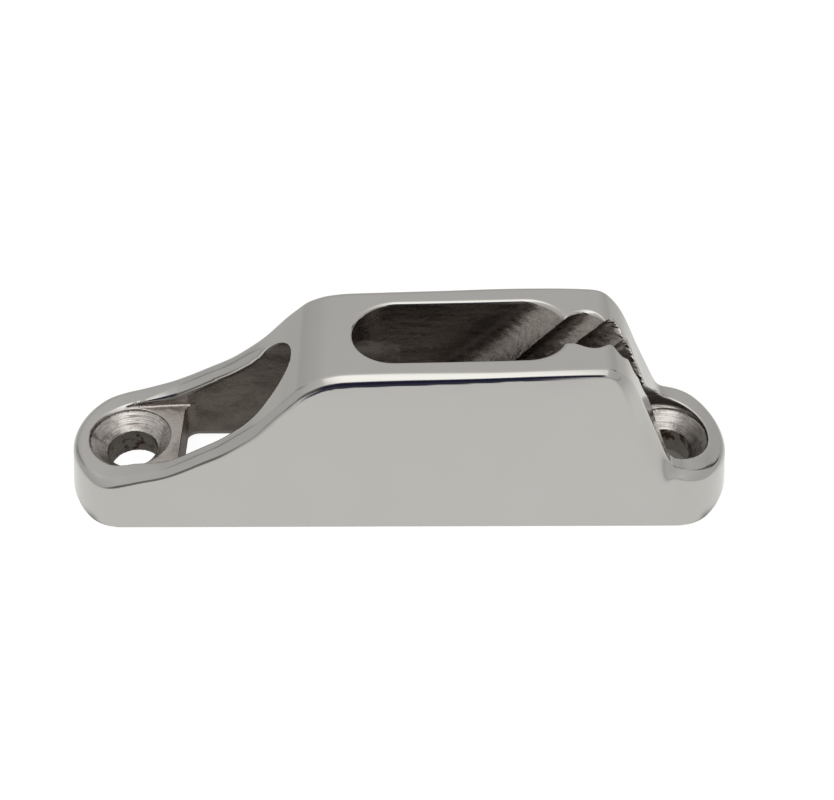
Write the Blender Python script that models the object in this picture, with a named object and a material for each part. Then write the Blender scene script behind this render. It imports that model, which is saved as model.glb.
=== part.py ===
"""One-piece V-jaw rope cleat with an integral fairlead, cast in stainless steel.

Frame: X runs along the cleat (load side at -X, cleating side at +X), Y across, Z up.
The flat base rests on z = 0 and the origin is the middle of the base outline.
"""

import math

import bmesh
import bpy
from mathutils import Vector

MM = 0.001

# Base outline
LENGTH = 82.0
BASE_HALF_WIDTH = 10.2
CORNER_RADIUS = 5.4
TIP_RADIUS = 12.8
DRAFT = 0.05
BASE_EDGE = 0.2

# Height of the rim above the base along X: nose, fairlead slope, crest, exit slope, nose
RIM_PROFILE = (
    (-41.2, 5.78), (-38.5, 5.83), (-36.0, 5.73), (-33.6, 6.12), (-31.2, 6.76), (-28.8, 7.5),
    (-26.2, 8.72), (-23.8, 10.05), (-21.2, 11.48), (-18.8, 13.25), (-16.6, 15.06), (-15.0, 16.76),
    (-13.6, 18.33), (-12.3, 19.6), (-11.2, 20.7), (-10.0, 21.37), (-8.6, 21.97), (-6.0, 22.43),
    (8.0, 22.84), (21.0, 23.14), (23.2, 23.09), (24.5, 22.82), (25.6, 21.8), (26.8, 20.15),
    (29.6, 13.8), (31.5, 9.75), (32.05, 8.47), (32.7, 7.4), (33.7, 6.93), (36.0, 6.31),
    (38.5, 5.58), (41.2, 4.48),
)

# Radius of the polished edge between the sides and the rim, along X
EDGE_RADIUS = (
    (-41.2, 1.05), (-36.0, 0.98), (-31.0, 0.85), (-26.0, 1.08), (-21.0, 1.25), (-17.0, 1.35),
    (-13.0, 1.15), (-10.0, 1.15), (-6.0, 1.2), (4.0, 1.08), (14.0, 0.85), (22.0, 0.84),
    (27.0, 0.87), (31.0, 0.96), (35.0, 0.85), (41.2, 0.5),
)
# Extra radius of that edge on the near side, where it was polished away beside the jaw's exit
NEAR_SOFTENING = (
    (-41.2, 0.0), (24.5, 0.0), (26.5, 1.0), (28.5, 2.0), (30.8, 1.8), (32.0, 0.7), (32.9, 0.0),
    (41.2, 0.0),
)
# How far each tip leans in at the rim
TIP_LEAN = ((-41.2, 0.5), (-38.0, 0.3), (-34.0, 0.0), (34.0, 0.0), (38.0, 0.15), (41.2, 0.3))
EDGE_STEPS = 5

# How far each side leans in at the rim, along X
SIDE_TAPER = (
    (-41.2, 1.77), (-36.0, 1.79), (-31.0, 1.56), (-27.0, 1.22), (-23.0, 1.14), (-19.0, 1.0),
    (-15.0, 0.7), (-11.0, 0.82), (-7.0, 1.1), (0.0, 1.13), (10.0, 1.1), (20.0, 1.29),
    (26.0, 1.57), (30.0, 1.72), (33.0, 2.05), (36.0, 1.83), (41.2, 1.2),
)

# Screw bosses
HOLE_X = 33.3
HOLE_RADIUS = 3.05
SINK_RADIUS = 4.97
SINK_BOTTOM_Z = 3.33
SINK_TOP_Z = 5.13
FLOOR_Z = 5.48
POCKET_RADIUS = 5.35
POCKET_X = 32.9

# Rope passage: open slot in the base, arched tunnel, window in the crest
SLOT_LEFT_X = -27.0
SLOT_CORNER = 1.3
SLOT_HALF_WIDTH = 5.2
WALL_HALF_WIDTH = (
    (-41.2, 5.35), (-33.0, 5.38), (-30.0, 5.58), (-27.0, 5.75), (-21.0, 5.72), (-15.0, 5.65),
    (-10.0, 5.44), (2.0, 5.4),
)
WALL_BLEND = 4.0
ARCH_RADIUS = 5.4
ARCH_CENTRE_Z = 13.68
WINDOW_RADIUS = 5.12
SKIRT_TOP_Z = 20.3
SKIRT_LOW_Z = 15.3
WINDOW_LEFT_X = -0.2
WINDOW_RIGHT_X = 14.6
CREST_Z = 22.78
RAMP_FOOT_Z = 8.48

# Toothed V jaw: ridges lie on both walls at 45 degrees, down towards the load side
TOOTH_FIRST_X = 19.3
TOOTH_PITCH = 4.95
NEAR_TOOTH_SHIFT = 0.5
NEAR_TOOTH_BLUNT = 0.18
TOOTH_STEPS = 6
JAW_TIP_TOP = 1.55
JAW_VALLEY_TOP = 3.0
JAW_TIP_LOW = 0.75
JAW_VALLEY_LOW = 1.15
JAW_LOW_Z = 13.28
JAW_FLOOR_Z = 7.88
JAW_FLOOR_HALF = 0.6

# Rounded lip of the tunnel mouth: (x, radius)
MOUTH_LIP = (
    (-30.4, 0.1), (-29.2, 0.6), (-27.0, 1.3), (-24.8, 1.35), (-22.6, 1.35), (-20.6, 1.35),
    (-18.8, 1.35), (-17.2, 1.1), (-15.7, 0.6), (-14.8, 0.1),
)

# Flared clearance over the screw on the cleating side
FLARE_HALF_WIDTH = 5.95
FLARE_SHOULDER_Z = 6.58
FLARE_APEX_Z = 12.98
FLARE_APEX_HALF = 0.75

ABOVE = 30.0
BELOW = -1.0


def interpolate(points, x):
    """Smooth monotone curve through (x, value) points."""
    if x <= points[0][0]:
        return points[0][1]
    if x >= points[-1][0]:
        return points[-1][1]
    i = max(k for k in range(len(points) - 1) if points[k][0] <= x)
    x0, y0 = points[i]
    x1, y1 = points[i + 1]
    span = x1 - x0
    t = (x - x0) / span
    m0 = tangent(points, i) * span
    m1 = tangent(points, i + 1) * span
    return (
        (2 * t**3 - 3 * t**2 + 1) * y0
        + (t**3 - 2 * t**2 + t) * m0
        + (3 * t**2 - 2 * t**3) * y1
        + (t**3 - t**2) * m1
    )


def tangent(points, i):
    """Slope at a point of the curve, zero where the curve turns."""
    if i == 0 or i == len(points) - 1:
        j = 0 if i == 0 else i - 1
        return (points[j + 1][1] - points[j][1]) / (points[j + 1][0] - points[j][0])
    before = (points[i][1] - points[i - 1][1]) / (points[i][0] - points[i - 1][0])
    after = (points[i + 1][1] - points[i][1]) / (points[i + 1][0] - points[i][0])
    if before * after <= 0:
        return 0.0
    return 2 * before * after / (before + after)


def rim_height(x):
    return interpolate(RIM_PROFILE, x)


def rim_slope(x):
    return (rim_height(x + 0.05) - rim_height(x - 0.05)) / 0.1


def half_outline():
    """Points and outward normals of the near half of the base outline, from tip to tip."""
    tip_centre = LENGTH / 2 - TIP_RADIUS
    corner_y = BASE_HALF_WIDTH - CORNER_RADIUS
    corner_x = tip_centre + math.sqrt((TIP_RADIUS - CORNER_RADIUS) ** 2 - corner_y**2)
    turn = math.atan2(corner_y, corner_x - tip_centre)
    points = []
    for k in range(5):
        angle = -turn * k / 5
        normal = (math.cos(angle), math.sin(angle))
        points.append((tip_centre + TIP_RADIUS * normal[0], TIP_RADIUS * normal[1], normal))
    for k in range(7):
        angle = -turn - (math.pi / 2 - turn) * k / 6
        normal = (math.cos(angle), math.sin(angle))
        x = corner_x + CORNER_RADIUS * normal[0]
        points.append((x, -corner_y + CORNER_RADIUS * normal[1], normal))
    mirrored = [(-x, y, (-n[0], n[1])) for x, y, n in reversed(points)]
    stations = [32.6, 31.7, 30.6, 29.0, 27.5, 26.5, 25.5, 24.6, 23.6, 22.4, 20.0, 14.0, 7.0, 0.0]
    stations += [-5.0, -8.0, -9.3, -10.3, -11.3, -12.3, -13.3, -14.4, -15.7, -17.2, -18.8]
    stations += [-20.6, -22.6, -24.8, -27.0, -29.2, -31.4]
    side = [(x, -BASE_HALF_WIDTH, (0.0, -1.0)) for x in stations]
    return points + side + mirrored


def edge_radius(x, y):
    """Radius of the polished edge, larger on the near side beside the jaw's exit."""
    radius = interpolate(EDGE_RADIUS, x)
    return radius + interpolate(NEAR_SOFTENING, x) if y < 0 else radius


def side_scale(x, height):
    """Width of the body at a height, as a share of its width at the base."""
    return 1 - interpolate(SIDE_TAPER, x) * height / rim_height(x) / BASE_HALF_WIDTH


def body_rings():
    """Closed rings of points from the base to the rim."""
    near = half_outline()
    far = [(x, -y, (n[0], -n[1])) for x, y, n in reversed(near[1:-1])]
    loop = near + far
    rings = []
    rings.append([(x - BASE_EDGE * n[0], y - BASE_EDGE * n[1], 0.0) for x, y, n in loop])
    rings.append([(x, y * side_scale(x, BASE_EDGE), BASE_EDGE) for x, y, n in loop])
    for step in range(EDGE_STEPS + 1):
        angle = math.pi / 2 * step / EDGE_STEPS
        ring = []
        for x, y, n in loop:
            radius = edge_radius(x, y)
            inset = radius * (1 - math.cos(angle))
            steep = math.sqrt(1 + rim_slope(x) ** 2)
            lean = DRAFT * (rim_height(x) - radius)
            tip_lean = interpolate(TIP_LEAN, x) * (1 - radius * (1 - math.sin(angle)) / rim_height(x))
            px = x - (inset + lean + tip_lean) * n[0]
            height = rim_height(px) - radius * steep * (1 - math.sin(angle))
            py = (y - (inset + lean) * n[1]) * side_scale(px, height)
            ring.append((px, py, height))
        rings.append(ring)
    return rings, len(near)


def new_object(name, mesh):
    thing = bpy.data.objects.new(name, mesh)
    bpy.context.scene.collection.objects.link(thing)
    return thing


def mesh_from(name, verts, faces):
    """Object from points in millimetres, with all faces turned outward."""
    shell = bmesh.new()
    made = [shell.verts.new(Vector(v) * MM) for v in verts]
    for face in faces:
        shell.faces.new([made[i] for i in face])
    bmesh.ops.recalc_face_normals(shell, faces=shell.faces)
    mesh = bpy.data.meshes.new(name)
    shell.to_mesh(mesh)
    shell.free()
    return new_object(name, mesh)


def loft(name, rings):
    """Closed solid through rings of equal length, capped at both ends."""
    count = len(rings[0])
    verts = [point for ring in rings for point in ring]
    faces = []
    for level in range(len(rings) - 1):
        for i in range(count):
            a = level * count + i
            b = level * count + (i + 1) % count
            faces.append((a, b, b + count, a + count))
    faces.append(tuple(range(count)))
    faces.append(tuple(range(len(verts) - count, len(verts))))
    return mesh_from(name, verts, faces)


def body():
    rings, near_count = body_rings()
    count = len(rings[0])
    verts = [point for ring in rings for point in ring]
    faces = []
    for level in range(len(rings) - 1):
        for i in range(count):
            a = level * count + i
            b = level * count + (i + 1) % count
            faces.append((a, b, b + count, a + count))
    for level in (0, len(rings) - 1):
        start = level * count
        for i in range(near_count - 1):
            left = start + i
            right = start + i + 1
            across_left = start + (count - i) % count
            across_right = start + (count - i - 1) % count
            corners = [left, right]
            if across_right != right:
                corners.append(across_right)
            if across_left != left:
                corners.append(across_left)
            faces.append(tuple(corners))
    return mesh_from("cleat_body", verts, faces)


def cut(target, cutter, name):
    modifier = target.modifiers.new(name, "BOOLEAN")
    modifier.operation = "DIFFERENCE"
    modifier.solver = "EXACT"
    modifier.object = cutter
    hide(cutter)


def hide(helper):
    helper.hide_render = True
    helper.display_type = "WIRE"


def revolve(name, x, profile, segments=48):
    """Solid of revolution about a vertical axis, from (radius, height) points bottom to top."""
    rings = []
    for radius, z in profile:
        ring = []
        for k in range(segments):
            angle = 2 * math.pi * k / segments
            ring.append((x + radius * math.cos(angle), radius * math.sin(angle), z))
        rings.append(ring)
    return loft(name, rings)


def screw_hole(name, x):
    profile = (
        (HOLE_RADIUS, BELOW),
        (HOLE_RADIUS, SINK_BOTTOM_Z),
        (SINK_RADIUS, SINK_TOP_Z),
        (SINK_RADIUS, FLOOR_Z + 0.4),
    )
    return revolve(name, x, profile)


def load_pocket():
    """Recess over the screw on the load side: round end, open towards the tunnel."""
    ring = []
    for k in range(25):
        angle = math.pi / 2 + math.pi * k / 24
        x = -POCKET_X + POCKET_RADIUS * math.cos(angle)
        ring.append((x, POCKET_RADIUS * math.sin(angle)))
    walls = [(x, interpolate(WALL_HALF_WIDTH, x)) for x in (-31.4, -29.8, -28.2, -27.0)]
    walls.append((SLOT_LEFT_X + SLOT_CORNER, interpolate(WALL_HALF_WIDTH, SLOT_LEFT_X)))
    ring += [(x, -half) for x, half in walls]
    ring += [(x, half) for x, half in reversed(walls)]
    return loft("cut_load_pocket", [[(x, y, z) for x, y in ring] for z in (FLOOR_Z, ABOVE)])


def tunnel_half_width(x, z):
    """Half width of the tunnel at a height: slot, spread walls, then the arch."""
    if z >= ARCH_CENTRE_Z:
        return math.sqrt(max(ARCH_RADIUS**2 - (z - ARCH_CENTRE_Z) ** 2, 0.0))
    share = min((ARCH_CENTRE_Z - z) / WALL_BLEND, 1.0)
    upper = ARCH_RADIUS + (interpolate(WALL_HALF_WIDTH, x) - ARCH_RADIUS) * share
    return SLOT_HALF_WIDTH + (upper - SLOT_HALF_WIDTH) * min(max(z / FLOOR_Z, 0.0), 1.0)


def tunnel():
    """Arched tunnel, open through the base, lofted along X with rounded corners at its start."""
    sections = []
    for k in range(6):
        angle = math.pi / 2 * k / 5
        loss = SLOT_CORNER * (1 - math.sin(angle))
        sections.append((SLOT_LEFT_X + SLOT_CORNER * (1 - math.cos(angle)), loss))
    sections += [(-23.0, 0.0), (-19.0, 0.0), (-15.0, 0.0), (-11.0, 0.0), (0.2, 0.2)]
    rings = []
    for x, loss in sections:
        side = [(tunnel_half_width(x, z) - loss, z) for z in (0.0, FLOOR_Z, ARCH_CENTRE_Z - WALL_BLEND)]
        side = [(SLOT_HALF_WIDTH - loss, BELOW)] + side
        radius = ARCH_RADIUS - loss
        ring = [(x, half, z) for half, z in side]
        for k in range(17):
            angle = math.pi * k / 16
            ring.append((x, radius * math.cos(angle), ARCH_CENTRE_Z + radius * math.sin(angle)))
        ring += [(x, -half, z) for half, z in reversed(side)]
        rings.append(ring)
    return loft("cut_tunnel", rings)


def mouth_lip():
    """Quarter-round relief along both edges where the tunnel opens in the sloping rim."""
    rings = []
    for x, radius in MOUTH_LIP:
        top = rim_height(x)
        depth = radius * math.sqrt(1 + rim_slope(x) ** 2)
        wall = tunnel_half_width(x, top - depth)
        side = []
        for degrees in (0, 20, 40, 58, 75):
            angle = math.radians(degrees)
            side.append((wall + radius * (1 - math.cos(angle)), top - depth * (1 - math.sin(angle))))
        side.append((side[-1][0], top + 3.0))
        ring = [(x, half, z) for half, z in side]
        ring += [(x, -half, z) for half, z in reversed(side)]
        rings.append(ring)
    return loft("cut_mouth_lip", rings)


def window():
    """Obround window whose right end runs down to the load side as a 45 degree ramp."""
    rings = []
    foot_x = WINDOW_RIGHT_X - (CREST_Z - RAMP_FOOT_Z)
    for z, radius in (
        (BELOW, ARCH_RADIUS),
        (RAMP_FOOT_Z, ARCH_RADIUS),
        (SKIRT_LOW_Z, ARCH_RADIUS),
        (SKIRT_TOP_Z, WINDOW_RADIUS),
        (ABOVE, WINDOW_RADIUS),
    ):
        right = max(foot_x, WINDOW_RIGHT_X - (CREST_Z - z))
        ring = []
        for k in range(21):
            angle = -math.pi / 2 + math.pi * k / 20
            x = right + radius * math.cos(angle)
            ring.append((x, radius * math.sin(angle), z))
        for k in range(21):
            angle = math.pi / 2 + math.pi * k / 20
            x = WINDOW_LEFT_X + radius * math.cos(angle)
            ring.append((x, radius * math.sin(angle), z))
        rings.append(ring)
    return loft("cut_window", rings)


def jaw_half_width(phase, z, blunt):
    """Half width of the jaw: phase 0 is a ridge, phase 0.5 the bottom of a flute."""
    flute = (math.sin(math.pi * (phase % 1.0)) ** 2 + blunt) ** 0.4
    if z >= JAW_LOW_Z:
        share = (z - JAW_LOW_Z) / (CREST_Z - JAW_LOW_Z)
        tip = JAW_TIP_LOW + (JAW_TIP_TOP - JAW_TIP_LOW) * share
        valley = JAW_VALLEY_LOW + (JAW_VALLEY_TOP - JAW_VALLEY_LOW) * share
    else:
        share = (z - JAW_FLOOR_Z) / (JAW_LOW_Z - JAW_FLOOR_Z)
        tip = JAW_FLOOR_HALF + (JAW_TIP_LOW - JAW_FLOOR_HALF) * share
        valley = JAW_FLOOR_HALF + (JAW_VALLEY_LOW - JAW_FLOOR_HALF) * share
    return tip + (valley - tip) * flute


def jaw():
    """V groove with slanting teeth: one toothed outline swept down at 45 degrees and narrowed."""
    steps = 7 * TOOTH_STEPS
    first_step = -TOOTH_STEPS
    rings = []
    for z in (JAW_FLOOR_Z, JAW_LOW_Z, CREST_Z + 1.0):
        walls = []
        for side, shift, blunt in ((-1, NEAR_TOOTH_SHIFT, NEAR_TOOTH_BLUNT), (1, 0.0, 0.0)):
            wall = []
            for k in range(first_step, steps + 1):
                phase = k / TOOTH_STEPS
                x = TOOTH_FIRST_X + shift + TOOTH_PITCH * phase - (CREST_Z - z)
                half = jaw_half_width(phase, z, blunt)
                if k < 0:
                    half = jaw_half_width(0, z, blunt) * 0.9
                wall.append((x, side * half, z))
            walls.append(wall)
        rings.append(walls[0] + walls[1][::-1])
    return loft("cut_jaw", rings)


def exit_pocket():
    """Recess over the screw on the cleating side, flared up into the jaw."""
    narrow = (
        (-FLARE_HALF_WIDTH, FLOOR_Z),
        (FLARE_HALF_WIDTH, FLOOR_Z),
        (FLARE_HALF_WIDTH, FLARE_SHOULDER_Z),
        (FLARE_APEX_HALF, FLARE_APEX_Z),
        (-FLARE_APEX_HALF, FLARE_APEX_Z),
        (-FLARE_HALF_WIDTH, FLARE_SHOULDER_Z),
    )
    wide = ((-8.0, FLOOR_Z), (8.0, FLOOR_Z), (8.0, 15.0), (2.0, ABOVE), (-2.0, ABOVE), (-8.0, 15.0))
    rings = []
    for x, section in ((20.0, narrow), (HOLE_X, narrow), (HOLE_X + 0.02, wide), (45.0, wide)):
        rings.append([(x, y, z) for y, z in section])
    flare = loft("cut_exit_flare", rings)
    hide(flare)
    bore = revolve(
        "cut_exit_pocket", POCKET_X, ((POCKET_RADIUS, FLOOR_Z - 0.5), (POCKET_RADIUS, ABOVE - 2.0))
    )
    keep = bore.modifiers.new("inside the flare", "BOOLEAN")
    keep.operation = "INTERSECT"
    keep.solver = "EXACT"
    keep.object = flare
    return bore


def steel():
    material = bpy.data.materials.new("polished_stainless_steel")
    material.use_nodes = True
    shader = material.node_tree.nodes["Principled BSDF"]
    shader.inputs["Base Color"].default_value = (0.62, 0.61, 0.59, 1.0)
    shader.inputs["Metallic"].default_value = 1.0
    shader.inputs["Roughness"].default_value = 0.12
    return material


def build():
    for thing in list(bpy.data.objects):
        bpy.data.objects.remove(thing)
    cleat = body()
    cleat.data.materials.append(steel())
    cut(cleat, tunnel(), "arched rope tunnel")
    cut(cleat, mouth_lip(), "rounded lip of the tunnel mouth")
    cut(cleat, window(), "window and ramp")
    cut(cleat, jaw(), "toothed jaw")
    cut(cleat, load_pocket(), "pocket, load side")
    cut(cleat, exit_pocket(), "pocket, cleating side")
    cut(cleat, screw_hole("cut_load_screw", -HOLE_X), "screw hole, load side")
    cut(cleat, screw_hole("cut_exit_screw", HOLE_X), "screw hole, cleating side")
    for face in cleat.data.polygons:
        face.use_smooth = True
    cleat.data.set_sharp_from_angle(angle=math.radians(35))


build()
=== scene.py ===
"""Looks of the one-piece rope cleat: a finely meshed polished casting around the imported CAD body.

Sizes are in millimetres, in the CAD frame: X along the cleat (load side at -X), Y across, Z up.
The casting is described by signed distances (negative inside the metal), meshed from a grid,
and every point is then moved onto the exact surface.
"""

import functools
import math

import bpy
import numpy as np
import openvdb
from mathutils import Matrix, Vector


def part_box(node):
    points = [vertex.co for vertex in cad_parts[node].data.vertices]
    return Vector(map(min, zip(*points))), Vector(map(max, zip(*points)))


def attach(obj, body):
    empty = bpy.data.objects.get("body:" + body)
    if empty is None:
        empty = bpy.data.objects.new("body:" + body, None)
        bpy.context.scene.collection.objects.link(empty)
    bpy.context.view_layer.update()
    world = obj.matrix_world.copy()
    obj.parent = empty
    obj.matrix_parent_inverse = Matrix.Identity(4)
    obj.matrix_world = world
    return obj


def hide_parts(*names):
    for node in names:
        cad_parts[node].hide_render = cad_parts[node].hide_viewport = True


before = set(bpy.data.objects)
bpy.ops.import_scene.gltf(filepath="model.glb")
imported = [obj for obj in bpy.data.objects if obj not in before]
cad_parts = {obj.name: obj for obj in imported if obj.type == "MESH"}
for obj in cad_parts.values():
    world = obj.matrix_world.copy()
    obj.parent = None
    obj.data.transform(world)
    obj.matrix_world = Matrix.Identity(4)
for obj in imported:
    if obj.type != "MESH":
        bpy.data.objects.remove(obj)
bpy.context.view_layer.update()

MM = 0.001
NODE = "cleat_body"

LOW, HIGH = (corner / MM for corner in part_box(NODE))
HALF_LENGTH = (HIGH.x - LOW.x) / 2
BASE_HALF_WIDTH = (HIGH.y - LOW.y) / 2

# Blurs that round the corners of the curves below, along X
RIM_BLUR = 0.45
SIDE_BLUR = 1.0
WALL_BLUR = 0.6
DETAIL_BLUR = 0.5

# Outside of the casting. A curve is (x, value) points.
CORNER_RADIUS = 5.4
TIP_RADIUS = 12.8
DRAFT = 0.05
TAPER_REACH = 1.1  # the taper carries on to this share of the rim's height
SIDE_TAPER = (
    (-41.2, 1.77), (-36.0, 1.79), (-31.0, 1.56), (-27.0, 1.22), (-23.0, 1.14), (-19.0, 1.0),
    (-15.0, 0.7), (-11.0, 0.82), (-7.0, 1.1), (0.0, 1.13), (10.0, 1.1), (20.0, 1.29),
    (26.0, 1.57), (30.0, 1.72), (33.0, 2.05), (36.0, 1.83), (41.2, 1.2),
)
BASE_EDGE = 0.2
RIM_PROFILE = (
    (-41.2, 5.78), (-38.5, 5.83), (-36.0, 5.73), (-33.6, 6.12), (-31.2, 6.76), (-28.8, 7.5),
    (-26.2, 8.72), (-23.8, 10.05), (-21.2, 11.48), (-18.8, 13.25), (-16.6, 15.06), (-15.0, 16.76),
    (-13.6, 18.33), (-12.3, 19.6), (-11.2, 20.7), (-10.0, 21.37), (-8.6, 21.97), (-6.0, 22.43),
    (8.0, 22.84), (21.0, 23.14), (23.2, 23.09), (24.5, 22.82), (25.6, 21.8), (26.8, 20.15),
    (29.6, 13.8), (31.5, 9.75), (32.05, 8.47), (32.7, 7.4), (33.7, 6.93), (36.0, 6.31),
    (38.5, 5.58), (41.2, 4.48),
)
EDGE_RADIUS = (
    (-41.2, 1.05), (-36.0, 0.98), (-31.0, 0.85), (-26.0, 1.08), (-21.0, 1.25), (-17.0, 1.35),
    (-13.0, 1.15), (-10.0, 1.15), (-6.0, 1.2), (4.0, 1.08), (14.0, 0.85), (22.0, 0.84),
    (27.0, 0.87), (31.0, 0.96), (35.0, 0.85), (41.2, 0.5),
)
# Extra radius of that edge on the near side, where it was polished away beside the jaw's exit
NEAR_SOFTENING = (
    (-41.2, 0.0), (24.5, 0.0), (26.5, 1.0), (28.5, 2.0), (30.8, 1.8), (32.0, 0.7), (32.9, 0.0),
    (41.2, 0.0),
)
# How far each tip leans in at the rim
TIP_LEAN = ((-41.2, 0.5), (-38.0, 0.3), (-34.0, 0.0), (34.0, 0.0), (38.0, 0.15), (41.2, 0.3))

# Screw bosses
HOLE_X = 33.3
HOLE_RADIUS = 3.05
SINK_RADIUS = 4.97
SINK_BOTTOM_Z = 3.33
SINK_TOP_Z = 5.13
SINK_HEADROOM = 0.5  # how far the screw hole's cut rises above the pocket floor
FLOOR_Z = 5.48
POCKET_RADIUS = 5.35
POCKET_X = 32.9
POCKET_CORNER = 0.3

# Rope passage
SLOT_LEFT_X = -27.0
SLOT_CORNER = 1.3
SLOT_HALF_WIDTH = 5.2
WALL_CLOSING = 4.0  # height over which the spread walls close in below the arch
WALL_HALF_WIDTH = (
    (-41.2, 5.35), (-33.0, 5.38), (-30.0, 5.58), (-27.0, 5.75), (-21.0, 5.72), (-15.0, 5.65),
    (-10.0, 5.44), (2.0, 5.4),
)
ARCH_RADIUS = 5.4
ARCH_CENTRE_Z = 13.68
WINDOW_RADIUS = 5.12
SKIRT_TOP_Z = 20.3
SKIRT_LOW_Z = 15.3
WINDOW_LEFT_X = -0.2
WINDOW_RIGHT_X = 14.6
CREST_Z = 22.78
RAMP_FOOT_Z = 8.48

# Toothed V jaw
TOOTH_FIRST_X = 19.3
TOOTH_PITCH = 4.95
NEAR_TOOTH_SHIFT = 0.5
NEAR_TOOTH_BLUNT = 0.18
JAW_TIP = ((7.88, 0.6), (13.28, 0.75), (22.78, 1.55), (24.28, 1.7))
JAW_VALLEY = ((7.88, 0.6), (13.28, 1.15), (22.78, 3.0), (24.28, 3.25))
JAW_FLOOR_Z = 7.88
JAW_START_PHASE = -1.0
FLUTE_POWER = 0.4  # below 1/2 the flutes are broad and the teeth between them sharp

# Small nicks along the jaw's far lip: (radians per mm of height, phase, share)
NICK_WAVES = ((4.3, 0.0, 1.0), (9.1, 0.7, 1.0), (17.7, 2.0, 0.5))
NICK_DEPTH = 0.1
NICK_REACH = 1.2
NICK_START_X = 24.3

# Flare of the jaw over the screw on the cleating side
FLARE_HALF_WIDTH = 5.95
FLARE_SHOULDER_Z = 6.58
FLARE_APEX_Z = 12.98
FLARE_APEX_HALF = 0.75
FLARE_CORNER = 0.4
FLARE_FADE = 1.5  # length past the hole over which the flare's roof opens

# Rounding of the edge between the polished outside and the passage, from the left boss along the
# tunnel's mouth, the window, the jaw and the right pocket
INNER_ROUND = (
    (-32.0, 0.35), (-28.0, 1.35), (-18.3, 1.35), (-15.3, 0.3375), (-14.0, 0.3375),
    (-11.55556, 0.2), (-8.001, 0.2), (-8.0, 0.42), (23.0, 0.42), (24.04762, 0.2), (30.4, 0.2),
    (31.0, 0.25),
)
SINK_ROUND = 0.12
INNER_FILLET = 0.5

# Where the finishes meet. The cast skin starts below the edge's rounding, by these shares of it.
CAST_START = 0.7
CAST_FADE = 0.3
LEAST_FADE = 0.05
NEAR_EXIT_X = 27.0  # past here the near edge is polished deeper, by NEAR_EXIT_EXTRA
NEAR_EXIT_EXTRA = 0.6
TURNED_FULL, TURNED_NONE = 0.05, 0.15  # distances from the surface of a screw hole
TURNED_DEPTH = 0.05

# Meshing
GRID_STEP = 0.2
BAND = 4 * GRID_STEP
PROJECTION_STEPS = 4
LEAST_STEEPNESS = 0.25
FINE = 0.02  # step of the sampled curves and of the central differences
FAR = 50.0  # more than any distance inside the cleat


def smooth_curve(points, blur):
    """Monotone curve through (x, value) points as a finely sampled table, then blurred."""
    px, py = (np.array(column, float) for column in zip(*points))
    slope = np.diff(py) / np.diff(px)
    tangent = np.zeros(len(px))
    tangent[0], tangent[-1] = slope[0], slope[-1]
    product = slope[:-1] * slope[1:]
    total = slope[:-1] + slope[1:]
    turning = product <= 0
    tangent[1:-1] = np.where(turning, 0.0, 2 * product / np.where(turning, 1.0, total))
    x = np.arange(px[0] - 2.0, px[-1] + 2.0, FINE)
    i = np.clip(np.searchsorted(px, x, side="right") - 1, 0, len(px) - 2)
    span = px[i + 1] - px[i]
    t = np.clip((x - px[i]) / span, 0.0, 1.0)
    value = (
        (2 * t**3 - 3 * t**2 + 1) * py[i]
        + (t**3 - 2 * t**2 + t) * tangent[i] * span
        + (3 * t**2 - 2 * t**3) * py[i + 1]
        + (t**3 - t**2) * tangent[i + 1] * span
    )
    reach = np.arange(-3 * blur, 3 * blur + FINE / 2, FINE)
    kernel = np.exp(-0.5 * (reach / blur) ** 2)
    kernel /= kernel.sum()
    half = len(reach) // 2
    return x, np.convolve(np.pad(value, half, mode="edge"), kernel, mode="valid")[: len(x)]


RIM = smooth_curve(RIM_PROFILE, RIM_BLUR)
RIM_SLOPE = (RIM[0], np.gradient(RIM[1], RIM[0]))
EDGE = smooth_curve(EDGE_RADIUS, SIDE_BLUR)
TAPER = smooth_curve(SIDE_TAPER, SIDE_BLUR)
WALL = smooth_curve(WALL_HALF_WIDTH, WALL_BLUR)
SOFTENING = smooth_curve(NEAR_SOFTENING, DETAIL_BLUR)
LEAN = smooth_curve(TIP_LEAN, DETAIL_BLUR)


def at(curve, x):
    return np.interp(x, curve[0], curve[1])


def both(a, b, radius):
    """Inside a and inside b, with the edge between them rounded."""
    edge = np.hypot(np.maximum(radius + a, 0), np.maximum(radius + b, 0))
    return np.minimum(-radius, np.maximum(a, b)) + edge


def either(a, b, radius):
    """Inside a or inside b, with a fillet in the corner between them."""
    return -both(-a, -b, radius)


def outline(x, y):
    """Distance to the base outline in plan: straight sides, corner arcs and tip arcs."""
    ax = np.abs(x)
    ay = np.abs(y)
    tip_centre = HALF_LENGTH - TIP_RADIUS
    corner_y = BASE_HALF_WIDTH - CORNER_RADIUS
    corner_x = tip_centre + math.sqrt((TIP_RADIUS - CORNER_RADIUS) ** 2 - corner_y**2)
    side = ay - BASE_HALF_WIDTH
    tip = np.hypot(ax - tip_centre, ay) - TIP_RADIUS
    corner = np.hypot(ax - corner_x, ay - corner_y) - CORNER_RADIUS
    in_tip = ay * (corner_x - tip_centre) < corner_y * (ax - tip_centre)
    return np.where(ax <= corner_x, side, np.where(in_tip, tip, corner))


def outside(x, y, z):
    """The polished outside: drafted and tapered sides up to the rim, with a rounded edge."""
    share = np.clip(z / at(RIM, x), 0, TAPER_REACH)
    spread = BASE_HALF_WIDTH / (BASE_HALF_WIDTH - at(TAPER, x) * share)
    side = outline(np.abs(x) + at(LEAN, x) * share, y * spread) / spread + DRAFT * z
    rim = (z - at(RIM, x)) / np.sqrt(1 + at(RIM_SLOPE, x) ** 2)
    radius = at(EDGE, x) + at(SOFTENING, x) * (y < 0)
    return both(both(side, rim, radius), -z, BASE_EDGE)


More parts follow.
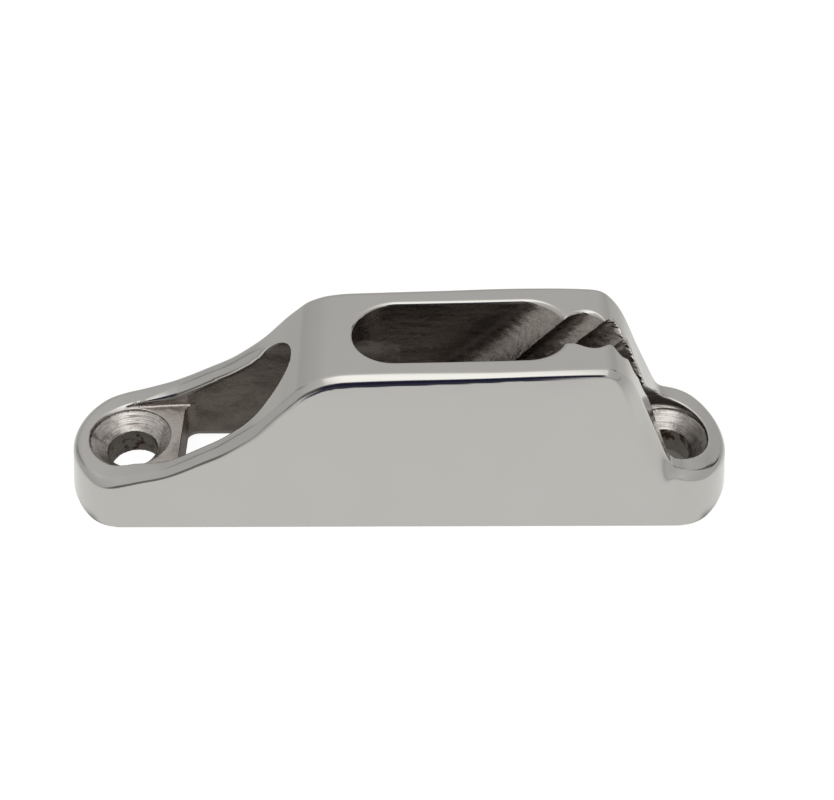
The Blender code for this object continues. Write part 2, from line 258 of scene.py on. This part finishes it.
def tunnel(x, y, z):
    """Arched passage: the walls spread above the screw floor and close into the arch."""
    spread = (at(WALL, x) - ARCH_RADIUS) * np.clip((ARCH_CENTRE_Z - z) / WALL_CLOSING, 0, 1)
    upper = ARCH_RADIUS + spread
    half = SLOT_HALF_WIDTH + (upper - SLOT_HALF_WIDTH) * np.clip(z / FLOOR_Z, 0, 1)
    arch = np.hypot(y, z - ARCH_CENTRE_Z) - ARCH_RADIUS
    section = np.where(z > ARCH_CENTRE_Z, arch, np.abs(y) - half)
    return np.maximum(both(section, SLOT_LEFT_X - x, SLOT_CORNER), x - WINDOW_LEFT_X)


def window(x, y, z):
    """Obround opening in the bridge, whose right end runs down a 45 degree ramp."""
    right = np.maximum(WINDOW_RIGHT_X - (CREST_Z - z), WINDOW_RIGHT_X - (CREST_Z - RAMP_FOOT_Z))
    beyond = np.maximum(x - right, 0) + np.maximum(WINDOW_LEFT_X - x, 0)
    skirt = np.clip((SKIRT_TOP_Z - z) / (SKIRT_TOP_Z - SKIRT_LOW_Z), 0, 1)
    return np.hypot(beyond, y) - WINDOW_RADIUS - (ARCH_RADIUS - WINDOW_RADIUS) * skirt


def jaw(x, y, z):
    """V slot that narrows downwards, with slanting flutes that leave the teeth between them."""
    near = y < 0
    phase = (x - TOOTH_FIRST_X - NEAR_TOOTH_SHIFT * near + (CREST_Z - z)) / TOOTH_PITCH
    wave = np.sin(math.pi * np.maximum(phase, 0)) ** 2
    flute = (wave + NEAR_TOOTH_BLUNT * near) ** FLUTE_POWER
    tip = np.interp(z, *zip(*JAW_TIP))
    valley = np.interp(z, *zip(*JAW_VALLEY))
    nicks = sum(share * np.sin(rate * z + start) for rate, start, share in NICK_WAVES)
    at_lip = np.clip(1 + (z - at(RIM, x)) / NICK_REACH, 0, 1) * np.clip(x - NICK_START_X, 0, 1)
    half = tip + (valley - tip) * flute + NICK_DEPTH * nicks * at_lip * (y > 0)
    slot = np.maximum(np.abs(y) - half, JAW_FLOOR_Z - z)
    return np.maximum(slot, (JAW_START_PHASE - phase) * TOOTH_PITCH)


def load_pocket(x, y, z):
    """Pocket over the left screw, as wide as the tunnel behind it."""
    nose = np.hypot(x + POCKET_X, y) - POCKET_RADIUS
    plan = np.where(x < -POCKET_X, nose, np.abs(y) - at(WALL, x))
    return np.maximum(both(plan, FLOOR_Z - z, POCKET_CORNER), x - SLOT_LEFT_X - SLOT_CORNER)


def exit_pocket(x, y, z):
    """Pocket over the right screw, under the gable roof of the jaw's flare."""
    plan = np.hypot(x - POCKET_X, y) - POCKET_RADIUS
    slant = (FLARE_HALF_WIDTH - FLARE_APEX_HALF) / (FLARE_APEX_Z - FLARE_SHOULDER_Z)
    half = FLARE_HALF_WIDTH - slant * np.maximum(z - FLARE_SHOULDER_Z, 0)
    roof = (np.abs(y) - half) / math.hypot(1, slant)
    roof = roof - FAR * np.clip((x - HOLE_X) / FLARE_FADE, 0, 1)
    return both(both(plan, roof, FLARE_CORNER), FLOOR_Z - z, POCKET_CORNER)


def screw_hole(x, y, z, centre):
    """Bore, countersink and the short straight wall above it."""
    radius = np.hypot(x - centre, y)
    lean = (SINK_RADIUS - HOLE_RADIUS) / (SINK_TOP_Z - SINK_BOTTOM_Z)
    cone = (radius - HOLE_RADIUS - lean * (z - SINK_BOTTOM_Z)) / math.hypot(1, lean)
    bore = radius - HOLE_RADIUS
    flank = np.maximum(np.maximum(cone, SINK_BOTTOM_Z - z), radius - SINK_RADIUS)
    mouth = np.maximum(radius - SINK_RADIUS, SINK_TOP_Z - z)
    return np.maximum(np.minimum(np.minimum(bore, flank), mouth), z - FLOOR_Z - SINK_HEADROOM)


def passage(x, y, z):
    """Everything cut out of the casting for the rope."""
    open_space = either(tunnel(x, y, z), window(x, y, z), INNER_FILLET)
    open_space = np.minimum(open_space, jaw(x, y, z))
    return np.minimum(open_space, np.minimum(load_pocket(x, y, z), exit_pocket(x, y, z)))


def screws(x, y, z):
    return np.minimum(screw_hole(x, y, z, -HOLE_X), screw_hole(x, y, z, HOLE_X))


def inner_round(x):
    return np.interp(x, *zip(*INNER_ROUND))


def casting(x, y, z):
    body = both(outside(x, y, z), -passage(x, y, z), inner_round(x))
    return both(body, -screws(x, y, z), SINK_ROUND)


def gradient(field, points):
    """Central differences of a distance field at an (n, 3) array of points."""
    found = np.empty_like(points)
    for axis in range(3):
        shift = np.zeros(3)
        shift[axis] = FINE
        found[:, axis] = (field(*(points + shift).T) - field(*(points - shift).T)) / (2 * FINE)
    return found


def mesh_casting():
    """Points and quads of the casting, moved onto the exact surface, with their normals."""
    margin = 3 * GRID_STEP
    axes = [np.arange(LOW[k] - margin, HIGH[k] + margin + GRID_STEP, GRID_STEP) for k in range(3)]
    x, y, z = np.meshgrid(*axes, indexing="ij", sparse=True)
    values = casting(x, y, z)
    grid = openvdb.FloatGrid(BAND)
    grid.copyFromArray(np.ascontiguousarray(np.clip(values, -BAND, BAND), dtype=np.float32))
    cells, _, quads = grid.convertToPolygons(0.0, 0.0)
    points = cells.astype(np.float64) * GRID_STEP + np.array([axis[0] for axis in axes])
    for _ in range(PROJECTION_STEPS):
        slope = gradient(casting, points)
        steep = np.maximum((slope**2).sum(axis=1), LEAST_STEEPNESS)
        step = (casting(*points.T) / steep)[:, None] * slope
        points -= np.clip(step, -GRID_STEP / 2, GRID_STEP / 2)
    normals = gradient(casting, points)
    normals /= np.maximum(np.linalg.norm(normals, axis=1), 1e-9)[:, None]
    return points, quads, normals


def outward(points, quads, normals):
    """Quads wound so that they face the way their normals point."""
    a, b, d = (points[quads[:, k]] for k in (0, 1, 3))
    facing = (np.cross(b - a, d - a) * normals[quads[:, 0]]).sum(axis=1)
    return quads[:, ::-1] if np.median(facing) < 0 else quads


def add_attribute(mesh, name, values):
    layer = mesh.attributes.new(name, "FLOAT", "POINT")
    layer.data.foreach_set("value", np.asarray(values, dtype=np.float32))


def mark_finishes(mesh, x, y, z):
    """Attributes that say how far each point is as-cast, or turned by a drill or countersink."""
    depth = -outside(x, y, z)
    to_passage = np.abs(passage(x, y, z))
    to_screws = np.abs(screws(x, y, z))
    edge = inner_round(x)
    start = CAST_START * edge + NEAR_EXIT_EXTRA * ((x > NEAR_EXIT_X) & (y < 0))
    cast = np.clip((depth - start) / (CAST_FADE * edge + LEAST_FADE), 0, 1)
    turned = np.clip((TURNED_NONE - to_screws) / (TURNED_NONE - TURNED_FULL), 0, 1)
    add_attribute(mesh, "cast", cast * (to_passage < to_screws))
    add_attribute(mesh, "turned", turned * (depth > TURNED_DEPTH))


def build_casting():
    points, quads, normals = mesh_casting()
    quads = outward(points, quads, normals)
    mesh = bpy.data.meshes.new("cast_body")
    mesh.from_pydata((points * MM).tolist(), [], quads.tolist())
    mesh.update()
    mesh.shade_smooth()
    mesh.normals_split_custom_set_from_vertices(normals.tolist())
    mark_finishes(mesh, *points.T)
    piece = bpy.data.objects.new("cast_body", mesh)
    bpy.context.scene.collection.objects.link(piece)
    return piece


class Graph:
    """Helper for building node trees. A value is a number, a tuple or another node's output."""

    def __init__(self, tree):
        self.tree = tree
        self.nodes = tree.nodes
        self.nodes.clear()

    def add(self, kind, inputs=None, **settings):
        node = self.nodes.new(kind)
        for key, value in settings.items():
            setattr(node, key, value)
        for key, value in (inputs or {}).items():
            self.put(node.inputs[key], value)
        return node

    def put(self, socket, value):
        if isinstance(value, bpy.types.NodeSocket):
            self.tree.links.new(value, socket)
        else:
            socket.default_value = value

    def math(self, operation, a, b=0.0, clamp=False):
        inputs = {0: a, 1: b}
        return self.add("ShaderNodeMath", inputs, operation=operation, use_clamp=clamp).outputs[0]

    def chain(self, operation, values):
        return functools.reduce(lambda a, b: self.math(operation, a, b), values)

    def total(self, *values):
        return self.chain("ADD", values)

    def product(self, *values):
        return self.chain("MULTIPLY", values)

    def highest(self, *values):
        return self.chain("MAXIMUM", values)

    def away(self, value, middle=0.0):
        """How far a value is from the middle, to either side."""
        return self.math("ABSOLUTE", self.math("SUBTRACT", value, middle))

    def length(self, a, b):
        squares = [self.math("POWER", side, 2.0) for side in (a, b)]
        return self.math("SQRT", self.total(*squares))

    def ramp(self, value, low, high, start=0.0, end=1.0):
        """Smooth step from start to end as the value goes from low to high."""
        keys = ("Value", "From Min", "From Max", "To Min", "To Max")
        inputs = dict(zip(keys, (value, low, high, start, end)))
        return self.add("ShaderNodeMapRange", inputs, interpolation_type="SMOOTHSTEP").outputs[0]

    def mix(self, share, a, b):
        return self.add("ShaderNodeMix", {0: share, 6: a, 7: b}, data_type="RGBA").outputs[2]

    def vector(self, operation, a, b=(0.0, 0.0, 0.0)):
        node = self.add("ShaderNodeVectorMath", {0: a, 1: b}, operation=operation)
        measures = operation in ("DOT_PRODUCT", "DISTANCE", "LENGTH")
        return node.outputs["Value" if measures else "Vector"]

    def scaled(self, vector, factor):
        inputs = {0: vector, "Scale": factor}
        return self.add("ShaderNodeVectorMath", inputs, operation="SCALE").outputs["Vector"]

    def split(self, vector):
        return self.add("ShaderNodeSeparateXYZ", {0: vector}).outputs[:]

    def join(self, x, y, z=0.0):
        return self.add("ShaderNodeCombineXYZ", {0: x, 1: y, 2: z}).outputs[0]

    def capsule(self, point, start, end):
        """Distance from a point to the segment between start and end."""
        along = Vector(end) - Vector(start)
        offset = self.vector("SUBTRACT", point, start)
        share = self.vector("DOT_PRODUCT", offset, along / along.length_squared)
        share = self.math("ADD", share, 0.0, clamp=True)
        return self.vector("DISTANCE", offset, self.scaled(along, share))

    def noise(self, where, scale, detail=2.0, roughness=0.5):
        inputs = {"Vector": where, "Scale": scale, "Detail": detail, "Roughness": roughness}
        return self.add("ShaderNodeTexNoise", inputs).outputs["Fac"]

    def attribute(self, name):
        return self.add("ShaderNodeAttribute", attribute_name=name).outputs["Fac"]

    def bump(self, height, strength, distance=1.0):
        inputs = {"Height": height, "Strength": strength, "Distance": distance * MM}
        return self.add("ShaderNodeBump", inputs).outputs[0]

    def metal(self, colour, roughness, normal, **more):
        inputs = {"Base Color": colour, "Metallic": 1.0, "Roughness": roughness, "Normal": normal}
        return self.add("ShaderNodeBsdfPrincipled", {**inputs, **more}).outputs[0]

    def blend(self, share, a, b):
        return self.add("ShaderNodeMixShader", {0: share, 1: a, 2: b}).outputs[0]


# Steel, as reflected colours (dark and light where a pair)
POLISH_TINTS = (0.50, 0.495, 0.475, 1), (0.54, 0.53, 0.52, 1)
CAST_TINTS = (0.23, 0.2, 0.182, 1), (0.35, 0.318, 0.3, 1)
GRAIN_TINT = (0.44, 0.41, 0.39, 1)
LOW_PATCH_TINT = (0.56, 0.515, 0.49, 1)
# Painted shade for the recessed pocket walls at the ends
RECESS_SHADE_TINT = (0.12, 0.105, 0.095, 1)
SINK_TINTS = (0.36, 0.33, 0.31, 1), (0.70, 0.68, 0.66, 1)
# Colour of the stain blotches, and of the painted dark reflection in the left countersink
GRIME_AND_REFLECTION_TINT = (0.17, 0.14, 0.125, 1)
# Painted shade in the bores
BORE_SHADE_TINT = (0.27, 0.26, 0.245, 1)
RUST_TINT = (0.085, 0.05, 0.032, 1)

# Relief and roughness of the steel
WAVE_HEIGHT, WIPE_HEIGHT = 0.06, 0.0006
GRAIN_HEIGHT, PITTING_HEIGHT = 0.035, 0.13
SCRATCH_HEIGHT = 0.06
POLISH_BUMP, CAST_BUMP, SINK_BUMP = 0.35, 0.6, 0.6
POLISH_ROUGHNESS, CAST_ROUGHNESS, SINK_ROUGHNESS = (0.09, 0.14), (0.24, 0.36), (0.16, 0.26)

# Where the steel's finishes change. A pair is where a smooth step starts and ends.
NOISE_STEP = (0.3, 0.7)
GRAIN_STEP = (0.35, 0.8)
RAGGED_EDGE = 0.35
STAIN_STRETCH = (0.25, 1.0, 2.2)
LOW_PATCH_Z, LOW_PATCH_NOISE, LOW_PATCH_SHARE = (13.5, 7.0), (0.35, 0.6), 0.55
# Painted shade on the pocket walls at the ends: where it starts along X and in height, and how much
RECESS_RIGHT_X, RECESS_LEFT_X = (28.5, 30.0), (-26.0, -29.0)
RECESS_Z, RECESS_SHADE_SHARE = (FLOOR_Z + 0.15, FLOOR_Z + 0.4), 0.85
# Painted dark reflection low on the far wall of the left countersink: its middle, its fade, and the
# scratches that break it
REFLECTION_CENTRE, REFLECTION_FADE, REFLECTION_SCRATCHES = (-33.6, 4.3, 4.3), (1.5, 0.5), (0.6, 0.42)
BLOTCHES = (0.48, 0.66, 0.0, 0.55)
# Where the bores start, and how much painted shade darkens them
BORE_FADE, BORE_SHADE_SHARE = (HOLE_RADIUS + 0.14, HOLE_RADIUS + 0.03), 0.8
RUST_SPOTS = (0.5, 0.6)
RING_RISE, RING_TURN = 0.7, 0.16


def polished_skin(g, mm):
    """Mirror polish, with the faint waves and wipe marks that the buffing wheel leaves."""
    wave = g.noise(mm, scale=0.22, detail=1.0)
    haze = g.noise(mm, scale=0.09, detail=3.0, roughness=0.6)
    wipe = g.noise(mm, scale=14.0, detail=2.0)
    relief = g.total(g.product(wave, WAVE_HEIGHT), g.product(wipe, WIPE_HEIGHT))
    roughness = g.ramp(haze, *NOISE_STEP, *POLISH_ROUGHNESS)
    return g.metal(g.mix(haze, *POLISH_TINTS), roughness, g.bump(relief, POLISH_BUMP))


def cast_skin(g, mm, grain):
    """As-cast finish: grain and pitting, drawn-out stains, lighter in patches low down, painted
    shade in the recesses.
    """
    x, _, z = g.split(mm)
    drawn_out = g.add("ShaderNodeMapping", {"Vector": mm, "Scale": STAIN_STRETCH}).outputs[0]
    cloud = g.noise(drawn_out, scale=0.8, detail=4.0, roughness=0.6)
    pitting = g.noise(mm, scale=1.4, detail=3.0)
    relief = g.total(g.product(grain, GRAIN_HEIGHT), g.product(pitting, PITTING_HEIGHT))
    tint = g.mix(g.ramp(cloud, *NOISE_STEP), *CAST_TINTS)
    tint = g.mix(g.ramp(grain, *GRAIN_STEP), tint, GRAIN_TINT)
    # Lighter in noise patches low down, fading out upwards
    patches = g.ramp(g.noise(mm, scale=0.3, detail=3.0), *LOW_PATCH_NOISE)
    tint = g.mix(g.product(g.ramp(z, *LOW_PATCH_Z), patches, LOW_PATCH_SHARE), tint, LOW_PATCH_TINT)
    # Painted shade: the cast steel is darkened on the far walls of both end pockets, above their
    # floors
    ends = g.highest(g.ramp(x, *RECESS_RIGHT_X), g.ramp(x, *RECESS_LEFT_X))
    tint = g.mix(g.product(ends, g.ramp(z, *RECESS_Z), RECESS_SHADE_SHARE), tint, RECESS_SHADE_TINT)
    roughness = g.ramp(cloud, *NOISE_STEP, *CAST_ROUGHNESS)
    return g.metal(tint, roughness, g.bump(relief, CAST_BUMP))


def turned_skin(g, mm):
    """Countersinks and bores: fine rings about each screw axis, grime, a painted dark reflection in
    the left countersink, painted shade and rust in the bores.
    """
    x, y, z = g.split(mm)
    off = g.math("SUBTRACT", g.math("ABSOLUTE", x), HOLE_X)
    radius = g.length(off, y)
    turn = g.math("ARCTAN2", y, off)
    rings = g.join(radius, g.product(z, RING_RISE), g.product(turn, RING_TURN))
    scratches = g.noise(rings, scale=8.0, detail=4.0, roughness=0.75)
    tint = g.mix(g.ramp(scratches, *NOISE_STEP), *SINK_TINTS)

    # Painted reflection: a dark patch low on the far wall of the left countersink, broken by the
    # scratches; the blotches are stains
    dark_reflection = g.ramp(g.vector("DISTANCE", mm, REFLECTION_CENTRE), *REFLECTION_FADE)
    dark_reflection = g.product(dark_reflection, g.ramp(scratches, *REFLECTION_SCRATCHES))
    blotch = g.ramp(g.noise(mm, scale=0.8, detail=4.0, roughness=0.7), *BLOTCHES)
    tint = g.mix(g.highest(dark_reflection, blotch), tint, GRIME_AND_REFLECTION_TINT)

    # Painted shade: the bore walls under the countersinks are darkened
    bore = g.ramp(radius, *BORE_FADE)
    tint = g.mix(g.product(bore, BORE_SHADE_SHARE), tint, BORE_SHADE_TINT)
    spots = g.ramp(g.noise(mm, scale=0.55, detail=3.0, roughness=0.6), *RUST_SPOTS)
    tint = g.mix(g.product(bore, spots), tint, RUST_TINT)

    spoke = g.join(g.product(off, g.math("SIGN", x)), y)
    brushed = {"Anisotropic": 0.8, "Tangent": g.vector("NORMALIZE", spoke)}
    roughness = g.ramp(scratches, *NOISE_STEP, *SINK_ROUGHNESS)
    return g.metal(tint, roughness, g.bump(scratches, SINK_BUMP, SCRATCH_HEIGHT), **brushed)


def steel_material():
    """Mirror-polished outside, darker cast finish in the passage, turned rings in the sinks."""
    material = bpy.data.materials.new("cast_stainless_steel")
    material.use_nodes = True
    g = Graph(material.node_tree)
    metres = g.add("ShaderNodeTexCoord").outputs["Object"]
    mm = g.scaled(metres, 1 / MM)
    grain = g.noise(mm, scale=5.0, detail=4.0, roughness=0.65)
    ragged = g.product(g.math("SUBTRACT", grain, 0.5), RAGGED_EDGE)
    is_cast = g.ramp(g.total(g.attribute("cast"), ragged), *NOISE_STEP)
    unturned = g.blend(is_cast, polished_skin(g, mm), cast_skin(g, mm, grain))
    steel = g.blend(g.attribute("turned"), unturned, turned_skin(g, mm))
    g.add("ShaderNodeOutputMaterial", {"Surface": steel})
    return material


# Floor. Its sizes are distances east (+X) and north (+Y) of the cleat's middle.
FLOOR_HALF = 2500.0
FLOOR_DROP = 0.02
PAPER = (0.93, 0.93, 0.93, 1)
PAPER_DIFFUSE = (0.14, 0.14, 0.14, 1)
HOLE_SHADE = (0.10, 0.09, 0.08, 1)
HOLE_SHADE_DIFFUSE = (0.05, 0.05, 0.05, 1)
HOLE_SHADE_FADE = (4.2, 3.6)
# Glow of the floor in the metal's reflections: painted light and shade
MIRRORED_FRONT = (0.93, 0.92, 0.895, 1)
MIRRORED_BACK = (0.66, 0.645, 0.62, 1)
MIRRORED_AROUND = (0.64, 0.63, 0.61, 1)
MIRRORED_UNDER_SHADE = (0.22, 0.205, 0.19, 1)
MIRRORED_FAR = (0.16, 0.15, 0.14, 1)
MIRRORED_FIGURE = (0.045, 0.045, 0.075, 1)
BACK_FADE = (-5.0, 50.0)
AROUND_FADE = (45.0, 160.0)
UNDER_NORTH, UNDER_EAST = (10.2, 8.5), (40.0, 37.0)
FAR_FADE, FAR_NORTH = (200.0, 600.0, 0.0, 0.6), (150.0, 0.0)
FIGURE_START = (-44.0, -52.0)
FIGURE_EAST, FIGURE_HALF_WIDTH, FIGURE_WIDENING = 4.0, 12.0, -0.15
FIGURE_EDGE = (12.0, -4.0)


def mirrored_floor(g, place, east, north):
    """Painted light and shade of the floor as the metal mirrors it: brighter in front, painted shade
    under the cleat, and a painted dark patch for the figure that stands in front.
    """
    colour = g.mix(g.ramp(north, *BACK_FADE), MIRRORED_FRONT, MIRRORED_BACK)
    distance = g.vector("LENGTH", place)
    colour = g.mix(g.ramp(distance, *AROUND_FADE), colour, MIRRORED_AROUND)
    # Painted shade on the floor under the cleat
    under = g.product(g.ramp(g.away(north), *UNDER_NORTH), g.ramp(g.away(east), *UNDER_EAST))
    colour = g.mix(under, colour, MIRRORED_UNDER_SHADE)
    far = g.product(g.ramp(distance, *FAR_FADE), g.ramp(north, *FAR_NORTH))
    colour = g.mix(far, colour, MIRRORED_FAR)
    # Painted dark patch for the figure in front
    half_width = g.total(FIGURE_HALF_WIDTH, g.product(north, FIGURE_WIDENING))
    past_side = g.math("SUBTRACT", g.away(east, FIGURE_EAST), half_width)
    figure = g.product(g.ramp(north, *FIGURE_START), g.ramp(past_side, *FIGURE_EDGE))
    return g.mix(figure, colour, MIRRORED_FIGURE)


def floor_material():
    """Bright paper to the camera, shaded under the right screw hole, and a glow of painted light and
    shade in mirrors.
    """
    material = bpy.data.materials.new("floor_paper")
    material.use_nodes = True
    g = Graph(material.node_tree)
    metres = g.add("ShaderNodeNewGeometry").outputs["Position"]
    place = g.scaled(metres, 1 / MM)
    east, north, _ = g.split(place)
    mirrored = g.add("ShaderNodeEmission", {"Color": mirrored_floor(g, place, east, north)})
    shaded = g.ramp(g.vector("DISTANCE", place, (HOLE_X, 0, 0)), *HOLE_SHADE_FADE)
    glow = g.add("ShaderNodeEmission", {"Color": g.mix(shaded, PAPER, HOLE_SHADE)})
    diffuse_tint = g.mix(shaded, PAPER_DIFFUSE, HOLE_SHADE_DIFFUSE)
    matte = g.add("ShaderNodeBsdfDiffuse", {"Color": diffuse_tint})
    direct = g.add("ShaderNodeAddShader", {0: glow.outputs[0], 1: matte.outputs[0]})
    to_camera = g.add("ShaderNodeLightPath").outputs["Is Camera Ray"]
    paper = g.blend(to_camera, mirrored.outputs[0], direct.outputs[0])
    g.add("ShaderNodeOutputMaterial", {"Surface": paper})
    return material


def floor():
    half = FLOOR_HALF * MM
    mesh = bpy.data.meshes.new("floor")
    corners = [(-half, -half, 0), (half, -half, 0), (half, half, 0), (-half, half, 0)]
    mesh.from_pydata(corners, [], [(0, 1, 2, 3)])
    plane = bpy.data.objects.new("floor", mesh)
    bpy.context.scene.collection.objects.link(plane)
    plane.location.z = (LOW.z - FLOOR_DROP) * MM
    mesh.materials.append(floor_material())
    return plane


# Light tent. A direction is a place on a flat map of the sky, east and north of the zenith, where
# the horizon is 1 away from the middle. A pair is where a smooth step starts and ends, and two
# more numbers after it are the levels there.
LEAST_LEVEL = 0.0001
TENT_WHITE = (1.0, 0.985, 0.96)
WALL_LEVEL = (-0.2, 0.4, 0.63, 0.64)
BACK_WALL_DIM = (0.2, 0.6, 0.0, 0.05)
CEILING_MIDDLE, CEILING_SIDES, CEILING_BACK = -0.02, (0.7, 0.2), (0.9, 0.45)
CEILING_LEVEL = 0.15
BOX_LEAN = 0.18
BOX_LEFT, BOX_RIGHT = (-0.33, -0.24), (0.37, 0.30)
BOX_BACK, BOX_FRONT = (0.28, 0.0), (-0.74, -0.62)
BOX_MIDDLE, BOX_LEVEL = -0.1, (0.3, 0.0, 0.45, 0.95)
HEAD_NORTH, HEAD_EAST, SHOULDER_SLOPE = -0.62, -0.05, -0.06
HEAD_FADE, SHOULDER_LEFT, SHOULDER_RIGHT = (0.05, -0.08), (-0.85, -0.6), (0.33, 0.24)
FIGURE_TINTS = (0.20, 0.18, 0.165, 1), (0.018, 0.019, 0.05, 1)
FIGURE_TINT_EAST = (-0.35, -0.15)
REAR_OBJECT_TINT = (0.012, 0.012, 0.016, 1)
POST = (0.65, 0.40, 0), (0.66, 0.46, 0), (0.075, 0.035)
MAST = (0.70, 0.78, 0), (0.71, 0.92, 0), (0.055, 0.02)
ARM = (0.43, 0.47, 0), (0.65, 0.38, 0), (0.055, 0.02)
LEFT_SHADE = (-0.62, 0.28, 0), (-0.72, 0.46, 0), (0.14, 0.02, 0.0, 0.45)
SHADE_TINT = (0.10, 0.095, 0.09, 1)
SEAM_RISE, SEAM_EAST, SEAM_NORTH = (0.05, 0.0, 0.0, 0.3), (0.1, -0.3), (0.25, 0.0)


def tent_brightness(g, east, north):
    """Walls, a brighter ceiling between them, and a soft box overhead that reaches down in front."""
    walls = g.math("SUBTRACT", g.ramp(east, *WALL_LEVEL), g.ramp(north, *BACK_WALL_DIM))
    ceiling = g.product(
        g.ramp(g.away(east, CEILING_MIDDLE), *CEILING_SIDES),
        g.ramp(north, *CEILING_BACK),
        CEILING_LEVEL,
    )
    leaning = g.total(east, g.product(north, BOX_LEAN))
    sides = g.product(g.ramp(leaning, *BOX_LEFT), g.ramp(east, *BOX_RIGHT))
    reach = g.product(g.ramp(north, *BOX_BACK), g.ramp(north, *BOX_FRONT))
    level = g.ramp(g.away(leaning, BOX_MIDDLE), *BOX_LEVEL)
    return g.total(walls, ceiling, g.product(sides, reach, level))


def dark_figure(g, east, north):
    """How much the dark shape behind the camera covers of a direction."""
    crown = g.total(HEAD_NORTH, g.product(g.away(east, HEAD_EAST), SHOULDER_SLOPE))
    return g.product(
        g.ramp(g.math("SUBTRACT", north, crown), *HEAD_FADE),
        g.ramp(east, *SHOULDER_LEFT),
        g.ramp(east, *SHOULDER_RIGHT),
    )


def soft_stroke(g, sky_map, stroke):
    """A stroke on the map of the sky, faded over its half width."""
    start, end, fade = stroke
    return g.ramp(g.capsule(sky_map, start, end), *fade)


def light_tent():
    """World that the polish mirrors: a pale tent, a soft box, and a few dark things around."""
    world = bpy.data.worlds.new("light_tent")
    bpy.context.scene.world = world
    world.use_nodes = True
    g = Graph(world.node_tree)
    x, y, z = g.split(g.add("ShaderNodeTexCoord").outputs["Generated"])
    level = g.length(x, y)
    from_zenith = g.math("DIVIDE", g.math("ARCTAN2", level, z), math.pi / 2)
    scale = g.math("DIVIDE", from_zenith, g.highest(level, LEAST_LEVEL))
    east, north = g.product(x, scale), g.product(y, scale)
    sky_map = g.join(east, north)

    seam = g.product(
        g.ramp(z, *SEAM_RISE), g.ramp(east, *SEAM_EAST), g.ramp(north, *SEAM_NORTH)
    )
    shade = g.highest(soft_stroke(g, sky_map, LEFT_SHADE), seam)
    rear_object = g.highest(*(soft_stroke(g, sky_map, part) for part in (POST, MAST, ARM)))
    colour = g.scaled(TENT_WHITE, tent_brightness(g, east, north))
    colour = g.mix(shade, colour, SHADE_TINT)
    figure_tint = g.mix(g.ramp(east, *FIGURE_TINT_EAST), *FIGURE_TINTS)
    colour = g.mix(dark_figure(g, east, north), colour, figure_tint)
    colour = g.mix(rear_object, colour, REAR_OBJECT_TINT)
    sky = g.add("ShaderNodeBackground", {"Color": colour})
    g.add("ShaderNodeOutputWorld", {"Surface": sky.outputs[0]})


CAMERA_AZIMUTH, CAMERA_ELEVATION, CAMERA_ROLL = -0.283, 43.745, 0.033
CAMERA_TARGET = (2.218, 0, 11.668)
CAMERA_DISTANCE = 186.84
CAMERA_LENS = 66.49


def camera():
    """Camera in front of the cleat, square to its side and 44 degrees up."""
    angles = (CAMERA_AZIMUTH, CAMERA_ELEVATION, CAMERA_ROLL)
    azimuth, elevation, roll = (math.radians(angle) for angle in angles)
    back = Vector((
        math.sin(azimuth) * math.cos(elevation),
        -math.cos(azimuth) * math.cos(elevation),
        math.sin(elevation),
    ))
    right = Vector((math.cos(azimuth), math.sin(azimuth), 0))
    up = back.cross(right)
    rolled_right = math.cos(roll) * right + math.sin(roll) * up
    rolled_up = -math.sin(roll) * right + math.cos(roll) * up
    place = (Vector(CAMERA_TARGET) + back * CAMERA_DISTANCE) * MM
    lens = bpy.data.cameras.new("camera")
    lens.sensor_width = 36.0
    lens.lens = CAMERA_LENS
    lens.clip_start = 0.005
    lens.clip_end = 20.0
    holder = bpy.data.objects.new("camera", lens)
    bpy.context.scene.collection.objects.link(holder)
    turn = Matrix((rolled_right, rolled_up, back)).transposed()
    holder.matrix_world = Matrix.Translation(place) @ turn.to_4x4()
    bpy.context.scene.camera = holder


piece = build_casting()
piece.data.materials.append(steel_material())
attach(piece, "root")
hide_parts(NODE)
floor()
light_tent()
camera()
bpy.context.scene.view_settings.view_transform = "Standard"
